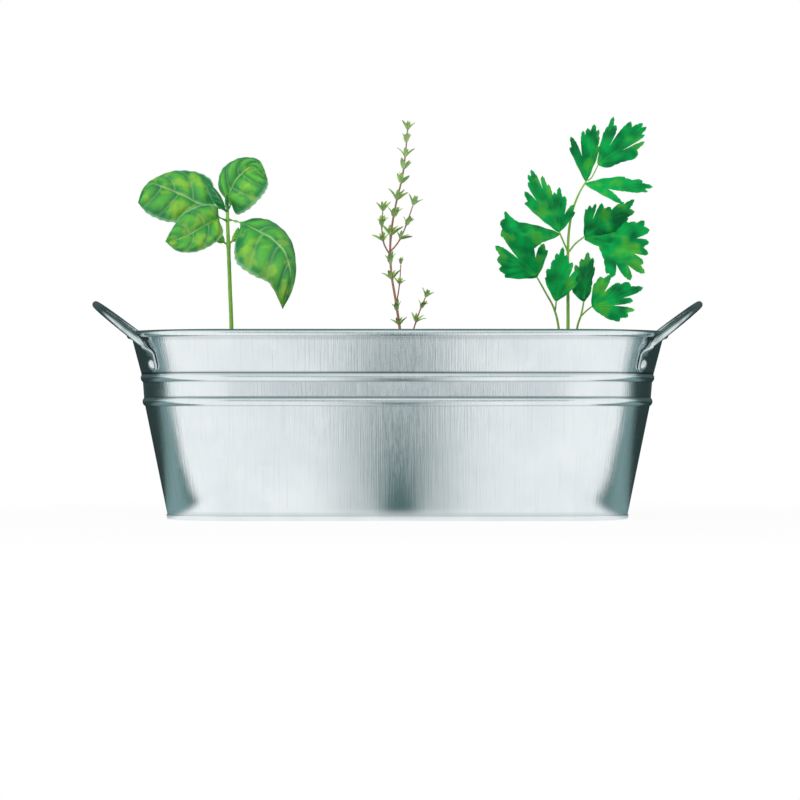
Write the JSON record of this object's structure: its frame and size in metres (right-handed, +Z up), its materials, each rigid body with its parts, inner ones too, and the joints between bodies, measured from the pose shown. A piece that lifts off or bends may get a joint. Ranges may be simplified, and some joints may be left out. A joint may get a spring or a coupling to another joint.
{
  "type": "indoor herb planter",
  "caption": "Tapered oblong metal tub with a rolled rim, raised beads and fixed wire end handles, filled with compost and planted with basil, thyme and parsley.",
  "frame": {"origin": "bottom centre: the middle of the standing ring's plane, under the centre of the overall box", "axes": "+X along the tub to the right-hand handle, +Y to the back, +Z up"},
  "size_m": [0.299, 0.1294, 0.1966],
  "materials": {
    "zinc_sheet": "galvanised sheet, lightly rolled, semi-bright",
    "steel_wire": "galvanised wire, bright",
    "rivet_steel": "galvanised, domed and pressed",
    "compost": "matt crumbly compost",
    "root_plug": "matt compost bound by roots",
    "green_stem": "smooth fresh green stem",
    "basil_leaf": "glossy puckered leaf",
    "thyme_stem": "thin woody stem",
    "thyme_leaf": "small matt leaf",
    "parsley_leaf": "smooth fresh leaf"
  },
  "bodies": {
    "root": {"front_wall": "zinc_sheet", "rear_wall": "zinc_sheet", "base_pan": "zinc_sheet", "rim_wire": "steel_wire", "left_handle": "steel_wire", "right_handle": "steel_wire", "left_rivets": "rivet_steel", "right_rivets": "rivet_steel", "left_rivet_washers": "rivet_steel", "right_rivet_washers": "rivet_steel", "compost": "compost", "basil_root_plug": "root_plug", "thyme_root_plug": "root_plug", "parsley_root_plug": "root_plug", "basil_stem": "green_stem", "basil_leaf_left": "basil_leaf", "basil_leaf_top": "basil_leaf", "basil_leaf_front": "basil_leaf", "basil_leaf_right": "basil_leaf", "basil_tip_leaf_left": "basil_leaf", "basil_tip_leaf_right": "basil_leaf", "basil_side_shoot_left": "basil_leaf", "basil_side_shoot_right": "basil_leaf", "thyme_main_stem": "thyme_stem", "thyme_left_branch": "thyme_stem", "thyme_right_branch": "thyme_stem", "thyme_low_branch": "thyme_stem", "thyme_young_branch": "thyme_stem", "thyme_main_leaves": "thyme_leaf", "thyme_left_leaves": "thyme_leaf", "thyme_right_leaves": "thyme_leaf", "thyme_low_leaves": "thyme_leaf", "thyme_young_leaves": "thyme_leaf", "parsley_main_stem": "green_stem", "parsley_left_stem": "green_stem", "parsley_right_stem": "green_stem", "parsley_left_stalk": "green_stem", "parsley_right_stalk": "green_stem", "parsley_top_stalk": "green_stem", "parsley_leaf_top_left": "parsley_leaf", "parsley_leaf_top_right": "parsley_leaf", "parsley_leaf_top_side": "parsley_leaf", "parsley_leaf_upper_left": "parsley_leaf", "parsley_leaf_outer_left": "parsley_leaf", "parsley_leaf_low_left": "parsley_leaf", "parsley_leaf_mid_right": "parsley_leaf", "parsley_leaf_outer_right": "parsley_leaf", "parsley_leaf_low_middle": "parsley_leaf", "parsley_leaf_low_inner": "parsley_leaf", "parsley_leaf_low_right": "parsley_leaf"}
  },
  "joints": []
}
